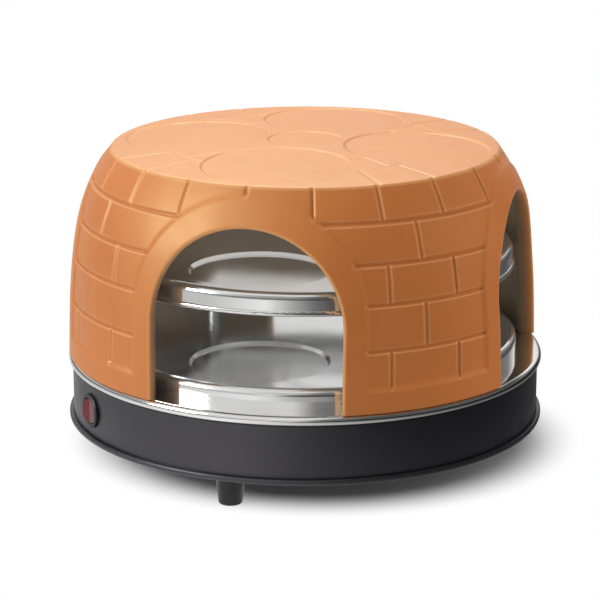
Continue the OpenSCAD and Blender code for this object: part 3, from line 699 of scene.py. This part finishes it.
# %% Turn the rim
sheet_t = 1.0
sheet_in = 150.0
bead_r = 3.5
bead_drop = 0.3
bead_step = 9
stud_r = 2.0
stud_l = 9.0
stud_ring = 161.6
stud_turn = 22.5
rim_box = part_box("rim_deck")
rim_top = rim_box[1].z / MM
sheet_low = rim_top - sheet_t
bead_x = rim_box[1].x / MM - bead_r
bead_z = rim_top - bead_drop - bead_r
stud_low = sheet_low - stud_l
stud_high = rim_top - sheet_t / 2
sheet = [(sheet_in, sheet_low), (sheet_in, rim_top), (bead_x, rim_top), (bead_x, sheet_low)]
bead = [(bead_x + bead_r * math.sin(a), bead_z + bead_r * math.cos(a))
        for a in np.radians(range(0, 360, bead_step))]
stud = [(0, stud_low), (stud_r, stud_low), (stud_r, stud_high), (0, stud_high)]
work = bmesh.new()
turned(work, sheet, rim_turns)
turned(work, bead, rim_turns)
for k in range(4):
    a = math.radians(stud_turn + 90 * k)
    turned(work, stud, stud_turns, stud_ring * math.cos(a), stud_ring * math.sin(a))
chrome_rim = smooth_part(work, bpy.data.meshes.new("chrome_rim"), sharp=40)
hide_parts("rim_deck")
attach(chrome_rim, "base")

# %% [markdown]
# ## Finishes
# A finish is a small graph of nodes. Noise in the object's own coordinates gives each one its
# grain, so it stays put when a part moves. The helpers below make a fresh Principled finish, add
# a noise, and let a noise steer the colour, the roughness or a fine bump.

# %% Helpers for finishes
def new_finish(name, colour, roughness, metallic=0.0):
    """A new Principled finish: (material, its node tree, the shader node)."""
    material = bpy.data.materials.new(name)
    material.use_nodes = True
    shader = material.node_tree.nodes["Principled BSDF"]
    shader.inputs["Base Color"].default_value = (*colour, 1)
    shader.inputs["Roughness"].default_value = roughness
    shader.inputs["Metallic"].default_value = metallic
    return material, material.node_tree, shader


def grain(tree, scale, detail=3.0, stretch=(1, 1, 1)):
    """Noise in object coordinates. scale counts lumps per metre."""
    place = tree.nodes.new("ShaderNodeTexCoord")
    mapping = tree.nodes.new("ShaderNodeMapping")
    mapping.inputs["Scale"].default_value = stretch
    noise = tree.nodes.new("ShaderNodeTexNoise")
    noise.inputs["Scale"].default_value = scale
    noise.inputs["Detail"].default_value = detail
    tree.links.new(place.outputs["Object"], mapping.inputs["Vector"])
    tree.links.new(mapping.outputs["Vector"], noise.inputs["Vector"])
    return noise.outputs["Fac"]


def ramp(tree, value, stops):
    """A colour ramp over a value. stops are (place, colour) pairs."""
    node = tree.nodes.new("ShaderNodeValToRGB")
    for element, (place, colour) in zip(node.color_ramp.elements, (stops[0], stops[-1])):
        element.position = place
        element.color = (*colour, 1)
    for place, colour in stops[1:-1]:
        node.color_ramp.elements.new(place).color = (*colour, 1)
    tree.links.new(value, node.inputs["Fac"])
    return node.outputs["Color"]


def reach(tree, value, start, end, low=0.0, high=1.0):
    """low where a value is at start or before, high where it is at end or beyond."""
    node = tree.nodes.new("ShaderNodeMapRange")
    limits = {"From Min": start, "From Max": end, "To Min": low, "To Max": high}
    for socket, limit in limits.items():
        node.inputs[socket].default_value = limit
    tree.links.new(value, node.inputs["Value"])
    return node.outputs["Result"]


def spread(tree, value, low, high):
    """Maps the middle of a noise's range, 0.3 to 0.7, onto low to high."""
    return reach(tree, value, 0.3, 0.7, low, high)


def bump(tree, shader, value, strength, depth):
    """A fine bump of real depth, in metres, on top of any bump already there."""
    node = tree.nodes.new("ShaderNodeBump")
    node.inputs["Strength"].default_value = strength
    node.inputs["Distance"].default_value = depth
    tree.links.new(value, node.inputs["Height"])
    if shader.inputs["Normal"].links:
        tree.links.new(shader.inputs["Normal"].links[0].from_socket, node.inputs["Normal"])
    tree.links.new(node.outputs["Normal"], shader.inputs["Normal"])


def dress(node_names, material):
    """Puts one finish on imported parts."""
    for name in node_names:
        mesh = nodes[name].data
        mesh.materials.clear()
        mesh.materials.append(material)
    print(material.name, "on", ", ".join(node_names))


# %% [markdown]
# ### Terracotta
# Unglazed terracotta is orange-brown with paler and redder clouds where the slip settled, and
# very fine pores. Its raised edges carry a paler painted highlight, its joints a redder, darker
# painted shade. Inside the oven the clay is a dull greyish brown. It takes a soft sheen from a
# low angle.

# %% Terracotta
clay_colour = (0.640, 0.158, 0.024)


def numbers(tree, name):
    """The number that each point of the dome carries under this name."""
    node = tree.nodes.new("ShaderNodeAttribute")
    node.attribute_name = name
    return node.outputs["Fac"]


def blend(tree, amount, colour, other):
    """Mixes two colours by an amount."""
    node = tree.nodes.new("ShaderNodeMix")
    node.data_type = "RGBA"
    tree.links.new(amount, node.inputs["Factor"])
    for socket, value in (("A", colour), ("B", other)):
        if isinstance(value, tuple):
            node.inputs[socket].default_value = (*value, 1)
        else:
            tree.links.new(value, node.inputs[socket])
    return node.outputs["Result"]


def terracotta():
    """Fired clay: cloudy colour, painted highlights on edges, painted shade in joints, greyish
    inside.
    """
    material, tree, shader = new_finish("terracotta", clay_colour, 0.5)
    colour = ramp(tree, grain(tree, 9, 4), [
        (0.30, (0.600, 0.142, 0.020)),
        (0.50, clay_colour),
        (0.72, (0.680, 0.177, 0.031)),
    ])
    painted_light = numbers(tree, "painted_light_shade")
    # A painted highlight on raised edges, then a painted shade in the joints.
    colour = blend(tree, reach(tree, painted_light, 0.05, 0.50), colour, (0.86, 0.42, 0.17))
    colour = blend(tree, reach(tree, painted_light, -0.05, -0.80), colour, (0.45, 0.095, 0.016))
    within = numbers(tree, "inside")
    colour = blend(tree, within, colour, (0.26, 0.165, 0.115))
    tree.links.new(colour, shader.inputs["Base Color"])
    tree.links.new(spread(tree, grain(tree, 40), 0.46, 0.56), shader.inputs["Roughness"])
    shader.inputs["IOR"].default_value = 1.8
    shader.inputs["Specular IOR Level"].default_value = 0.9
    shader.inputs["Specular Tint"].default_value = (1.0, 0.92, 0.5, 1)
    shader.inputs["Sheen Weight"].default_value = 0.30
    shader.inputs["Sheen Roughness"].default_value = 0.4
    shader.inputs["Sheen Tint"].default_value = (1.0, 0.86, 0.68, 1)
    bump(tree, shader, grain(tree, 30, 3), 0.25, 0.002)
    bump(tree, shader, grain(tree, 1600, 2), 0.25, 0.00015)
    return material


clay_dome.data.materials.append(terracotta())
print("clay finish:", len(clay_dome.data.materials[0].node_tree.nodes), "nodes")

# %% [markdown]
# ### Metals
# Chrome mirrors its surroundings, and use leaves it a little uneven, so a noise lets its roughness
# wander. The tiers' chrome is wiped more often and is a touch duller than the rim's. Zinc, rolled
# sheet, brass and the heaters' tinted steel are the same idea with other colours and more spread,
# and have hair-fine scratches too, drawn by a noise that is squeezed in one direction.

# %% Metals
def metal(name, colour, low, high, scratch=0.0, metallic=1.0):
    """A metal whose roughness wanders from low to high."""
    material, tree, shader = new_finish(name, colour, low, metallic)
    wander = grain(tree, 35, 4)
    tree.links.new(spread(tree, wander, low, high), shader.inputs["Roughness"])
    shade = ramp(tree, grain(tree, 12, 2), [
        (0.3, tuple(c * 0.94 for c in colour)),
        (0.7, colour),
    ])
    tree.links.new(shade, shader.inputs["Base Color"])
    if scratch:
        hairs = grain(tree, 260, 3, stretch=(1, 14, 1))
        bump(tree, shader, hairs, scratch, 0.00006)
    return material


bright_chrome = metal("chrome_rim", (0.86, 0.855, 0.84), 0.07, 0.10)
tier_chrome = metal("chrome_tier", (0.82, 0.82, 0.815), 0.09, 0.13, metallic=0.88)
zinc = metal("zinc_steel", (0.55, 0.56, 0.57), 0.28, 0.42, 0.5)
rolled = metal("bright_sheet", (0.72, 0.73, 0.74), 0.22, 0.34, 0.5)
tinted = metal("heater_steel", (0.12, 0.12, 0.125), 0.35, 0.5, 0.5)
brass = metal("brass", (0.70, 0.52, 0.22), 0.25, 0.4, 0.4)
chrome_rim.data.materials.append(bright_chrome)
dress(["cap_nuts"], bright_chrome)
dress(["lower_plate", "upper_plate"], tier_chrome)
dress(["post_1", "post_2", "post_3", "post_4", "post_rods", "post_nuts"], zinc)
dress(["foot_screws", "foot_nuts", "cover_screws", "deck_brackets", "deck_nuts"], zinc)
dress(["clamp_screws", "rocker_pin", "lower_clips", "upper_clips"], zinc)
dress(["reflector_pan", "heat_shield"], rolled)
dress(["lower_element", "upper_element"], tinted)
dress(["element_pins", "switch_tabs", "earth_stud"], brass)

# %% [markdown]
# ### Painted steel
# The base is sprayed with a satin charcoal paint. Up close such paint is never flat: it dries
# with a fine orange-peel, and dust in it dulls some places more than others.

# %% Painted steel
def paint(name, colour, roughness):
    """Sprayed paint with a fine orange-peel."""
    material, tree, shader = new_finish(name, colour, roughness)
    shade = ramp(tree, grain(tree, 14, 3), [
        (0.3, tuple(c * 0.88 for c in colour)),
        (0.7, tuple(c * 1.1 for c in colour)),
    ])
    tree.links.new(shade, shader.inputs["Base Color"])
    tree.links.new(spread(tree, grain(tree, 60, 3), roughness - 0.05, roughness + 0.06),
                   shader.inputs["Roughness"])
    shader.inputs["Specular IOR Level"].default_value = 1.0
    shader.inputs["Specular Tint"].default_value = (0.97, 0.94, 1.0, 1)
    bump(tree, shader, grain(tree, 700, 2), 0.25, 0.0002)
    return material


dress(["base_wall"], paint("charcoal_paint", (0.007, 0.006, 0.008), 0.40))
dress(["bottom_cover"], paint("black_sheet", (0.008, 0.008, 0.008), 0.36))

# %% [markdown]
# ### Plastics
# Feet, bezel and gland are moulded in black plastic with the faint grain of a spark-eroded
# mould. The rocker is clear plastic dyed dark red, polished, with the lamp behind it. The wires'
# sleeves and the ceramic insulators follow the same pattern in their own colours.

# %% Plastics and ceramics
def moulded(name, colour, roughness, pores=1200, depth=0.00012):
    """A moulded or fired part whose surface has fine pores."""
    material, tree, shader = new_finish(name, colour, roughness)
    shade = ramp(tree, grain(tree, 50, 3), [
        (0.3, tuple(c * 0.85 for c in colour)),
        (0.7, tuple(min(1, c * 1.1) for c in colour)),
    ])
    tree.links.new(shade, shader.inputs["Base Color"])
    tree.links.new(spread(tree, grain(tree, 150, 2), roughness - 0.05, roughness + 0.05),
                   shader.inputs["Roughness"])
    bump(tree, shader, grain(tree, pores, 2), 0.4, depth)
    return material


black_plastic = moulded("black_plastic", (0.009, 0.009, 0.010), 0.42)
ceramic = moulded("white_ceramic", (0.80, 0.77, 0.70), 0.6)
dress(["foot_1", "foot_2", "foot_3", "switch_housing"], black_plastic)
dress(["cord_gland", "gland_nut", "cord_clamp"], black_plastic)
dress(["thermostat", "thermal_fuse", "terminal_block"], ceramic)
dress(["wire_live"], moulded("brown_wire", (0.20, 0.08, 0.03), 0.4))
dress(["wire_neutral"], moulded("blue_wire", (0.03, 0.12, 0.40), 0.4))
dress(["wire_earth"], moulded("earth_wire", (0.25, 0.35, 0.05), 0.4))
dress(["insulation_pad"], moulded("mineral_fibre", (0.72, 0.68, 0.58), 0.9, 500, 0.001))


# %% The translucent rocker and its lamp
def dyed_clear(name, colour, through):
    """Clear plastic or glass, dyed, of which a part of the light goes through."""
    material, tree, shader = new_finish(name, colour, 0.22)
    shader.inputs["Transmission Weight"].default_value = through
    shader.inputs["IOR"].default_value = 1.45
    shader.inputs["Coat Weight"].default_value = 0.15
    shader.inputs["Coat Roughness"].default_value = 0.08
    bump(tree, shader, grain(tree, 300, 2), 0.2, 0.00005)
    shade = ramp(tree, grain(tree, 80, 2), [
        (0.3, tuple(c * 0.8 for c in colour)),
        (0.7, colour),
    ])
    tree.links.new(shade, shader.inputs["Base Color"])
    return material


dress(["switch_rocker"], dyed_clear("red_plastic", (0.17, 0.002, 0.008), 0.08))
dress(["switch_lamp"], dyed_clear("lamp_glass", (0.95, 0.55, 0.40), 0.7))

# %% [markdown]
# ## The studio
# The oven stands on a pale floor in a white surround. Both look white to the camera through their
# own colour, and not through stronger light, so the clay keeps its colour. Polished metal needs
# something to mirror. It sees a surround that is dark at the horizon and pale above, with a dark
# band a third of the way up, and darker on the right. This draws the bright and dark lines along
# the rim.

# %% The surround
world = bpy.data.worlds.new("surround")
bpy.context.scene.world = world
world.use_nodes = True
sky = world.node_tree
sky.nodes.clear()
out = sky.nodes.new("ShaderNodeOutputWorld")
path = sky.nodes.new("ShaderNodeLightPath")
place = sky.nodes.new("ShaderNodeTexCoord")
parts = sky.nodes.new("ShaderNodeSeparateXYZ")
sky.links.new(place.outputs["Generated"], parts.inputs["Vector"])
height_ramp = ramp(sky, parts.outputs["Z"], [
    (0.00, (0.10, 0.10, 0.10)),
    (0.10, (0.16, 0.16, 0.16)),
    (0.30, (0.95, 0.95, 0.94)),
    (0.42, (1.0, 1.0, 0.99)),
    (0.48, (0.22, 0.22, 0.22)),
    (0.54, (0.25, 0.25, 0.25)),
    (0.60, (1.0, 1.0, 0.99)),
    (0.95, (0.75, 0.75, 0.74)),
])
side_ramp = ramp(sky, reach(sky, parts.outputs["X"], -0.9, 0.9), [
    (0.0, (0.50, 0.50, 0.50)),
    (0.2, (1.0, 1.0, 1.0)),
    (0.58, (1.0, 1.0, 1.0)),
    (0.68, (0.25, 0.25, 0.25)),
    (0.86, (0.10, 0.10, 0.10)),
    (1.0, (0.16, 0.16, 0.16)),
])
mirrored = sky.nodes.new("ShaderNodeMix")
mirrored.data_type = "RGBA"
mirrored.blend_type = "MULTIPLY"
mirrored.inputs["Factor"].default_value = 1
sky.links.new(height_ramp, mirrored.inputs["A"])
sky.links.new(side_ramp, mirrored.inputs["B"])


def background(colour, strength):
    """A plain or a painted background."""
    node = sky.nodes.new("ShaderNodeBackground")
    if isinstance(colour, tuple):
        node.inputs["Color"].default_value = (*colour, 1)
    else:
        sky.links.new(colour, node.inputs["Color"])
    node.inputs["Strength"].default_value = strength
    return node.outputs[0]


def choose(ray, otherwise, then):
    """The second background for one kind of ray, the first for all others."""
    node = sky.nodes.new("ShaderNodeMixShader")
    sky.links.new(path.outputs[ray], node.inputs["Fac"])
    sky.links.new(otherwise, node.inputs[1])
    sky.links.new(then, node.inputs[2])
    return node.outputs[0]


soft_light = background((1.0, 1.0, 1.0), 0.34)
view = choose("Is Glossy Ray", soft_light, background(mirrored.outputs["Result"], 1.0))
view = choose("Is Transmission Ray", view, background((1.0, 1.0, 1.0), 1.0))
view = choose("Is Camera Ray", view, background((1.0, 1.0, 1.0), 1.0))
sky.links.new(view, out.inputs["Surface"])
print("surround:", len(sky.nodes), "nodes")

# %% [markdown]
# The floor keeps the shadow under the base, partly real and partly painted: its grey colour and a
# soft oval ring that lies a little to the back right, away from the main lamp, shape the shadow's
# edge, and outside the ring it turns white to the camera. In reflections the floor glows with a
# painted reflection, palest in the middle and dark on the right, as if a black card lay there, and
# so the dark base shows its roundness.

# %% The floor
floor_size = 6.0
shade_in = 0.134
shade_out = 0.186
shade_right = 0.013
shade_back = 0.013
shade_wide = 1.055
bpy.ops.mesh.primitive_plane_add(size=floor_size, location=(0, 0, 0))
floor = bpy.context.object
floor.name = "studio_floor"
floor_finish = bpy.data.materials.new("studio_floor")
floor_finish.use_nodes = True
tree = floor_finish.node_tree
matt = tree.nodes["Principled BSDF"]
matt.inputs["Base Color"].default_value = (0.52, 0.52, 0.52, 1)
matt.inputs["Roughness"].default_value = 0.9
glow = tree.nodes.new("ShaderNodeEmission")
glow.inputs["Strength"].default_value = 1.0
whiten = tree.nodes.new("ShaderNodeMixShader")
ray = tree.nodes.new("ShaderNodeLightPath")
spot = tree.nodes.new("ShaderNodeTexCoord")
oval = tree.nodes.new("ShaderNodeMapping")
oval.vector_type = "TEXTURE"
oval.inputs["Location"].default_value = (
    shade_right * math.cos(camera_turn) - shade_back * math.sin(camera_turn),
    shade_right * math.sin(camera_turn) + shade_back * math.cos(camera_turn),
    0,
)
oval.inputs["Rotation"].default_value = (0, 0, camera_turn)
oval.inputs["Scale"].default_value = (shade_wide, 1, 1)
from_middle = tree.nodes.new("ShaderNodeVectorMath")
from_middle.operation = "LENGTH"
tree.links.new(spot.outputs["Object"], oval.inputs["Vector"])
tree.links.new(oval.outputs["Vector"], from_middle.inputs[0])
# Inside this ring the grey floor shows painted shadow as well as the real one; outside it is white.
ring = reach(tree, from_middle.outputs["Value"], shade_in, shade_out)
ring.node.interpolation_type = "SMOOTHSTEP"
lift = tree.nodes.new("ShaderNodeMath")
lift.operation = "MULTIPLY"
tree.links.new(ring, lift.inputs[0])
tree.links.new(ray.outputs["Is Camera Ray"], lift.inputs[1])
tree.links.new(lift.outputs[0], whiten.inputs["Fac"])
tree.links.new(matt.outputs[0], whiten.inputs[1])
tree.links.new(glow.outputs[0], whiten.inputs[2])
print("the floor turns white from", shade_in, "to", shade_out, "m")

# %% The floor in reflections
sides = tree.nodes.new("ShaderNodeSeparateXYZ")
tree.links.new(spot.outputs["Object"], sides.inputs["Vector"])
# A painted reflection: reflections see the floor glow palest near the middle and dark on the right.
painted_reflection = ramp(tree, reach(tree, sides.outputs["X"], -0.35, 0.35), [
    (0.0, (0.62, 0.62, 0.62)),
    (0.43, (1.0, 1.0, 1.0)),
    (0.62, (0.48, 0.48, 0.48)),
    (0.80, (0.15, 0.15, 0.15)),
    (1.0, (0.02, 0.02, 0.02)),
])
mirrored_floor = tree.nodes.new("ShaderNodeEmission")
tree.links.new(painted_reflection, mirrored_floor.inputs["Color"])
by_ray = tree.nodes.new("ShaderNodeMixShader")
tree.links.new(ray.outputs["Is Glossy Ray"], by_ray.inputs["Fac"])
tree.links.new(whiten.outputs[0], by_ray.inputs[1])
tree.links.new(mirrored_floor.outputs[0], by_ray.inputs[2])
tree.links.new(by_ray.outputs[0], tree.nodes["Material Output"].inputs["Surface"])
floor.data.materials.append(floor_finish)
print("floor finish:", len(tree.nodes), "nodes")


# %% [markdown]
# A large soft lamp stands at the front left, so the piers on the right turn darker and every
# joint keeps a bright and a dark side. A weaker one on the right fills the shadows without
# showing in the gloss, and one behind and above draws the sheen on the top. A faint panel under
# the dome's ceiling and one under the upper tier brighten the tiers.

# %% The lamps
def soft_lamp(name, place, target, size, watts):
    """A soft lamp at place, turned towards target. Its size is (width, height), all in metres."""
    lamp = bpy.data.lights.new(name, "AREA")
    lamp.shape = "RECTANGLE"
    lamp.size, lamp.size_y = size
    lamp.energy = watts
    stand = bpy.data.objects.new(name, lamp)
    bpy.context.collection.objects.link(stand)
    stand.location = place
    aim = Vector(target) - Vector(place)
    stand.rotation_euler = aim.to_track_quat("-Z", "Y").to_euler()
    print(stand.name, "at", place, "with", watts, "W")
    return stand


middle = (0, 0, 0.12)
soft_lamp("key_lamp", (-1.45, -1.20, 1.05), middle, (0.9, 0.9), 24)
soft_lamp("top_lamp", (-0.5, 0.9, 1.5), middle, (1.2, 0.8), 17)
fill_lamp = soft_lamp("fill_lamp", (1.7, 0.2, 0.6), middle, (1.2, 1.2), 14)
fill_lamp.visible_glossy = False
for panel_z, panel_size, watts in ((0.208, 0.19, 0.065), (0.134, 0.18, 0.022)):
    panel = soft_lamp("panel", (0, 0, panel_z), (0, 0, 0), (panel_size, panel_size), watts)
    panel.visible_camera = False

# %% [markdown]
# ## Finish
# The picture keeps its colours as they are, through the Standard view.

# %% Finish
bpy.context.scene.view_settings.view_transform = "Standard"
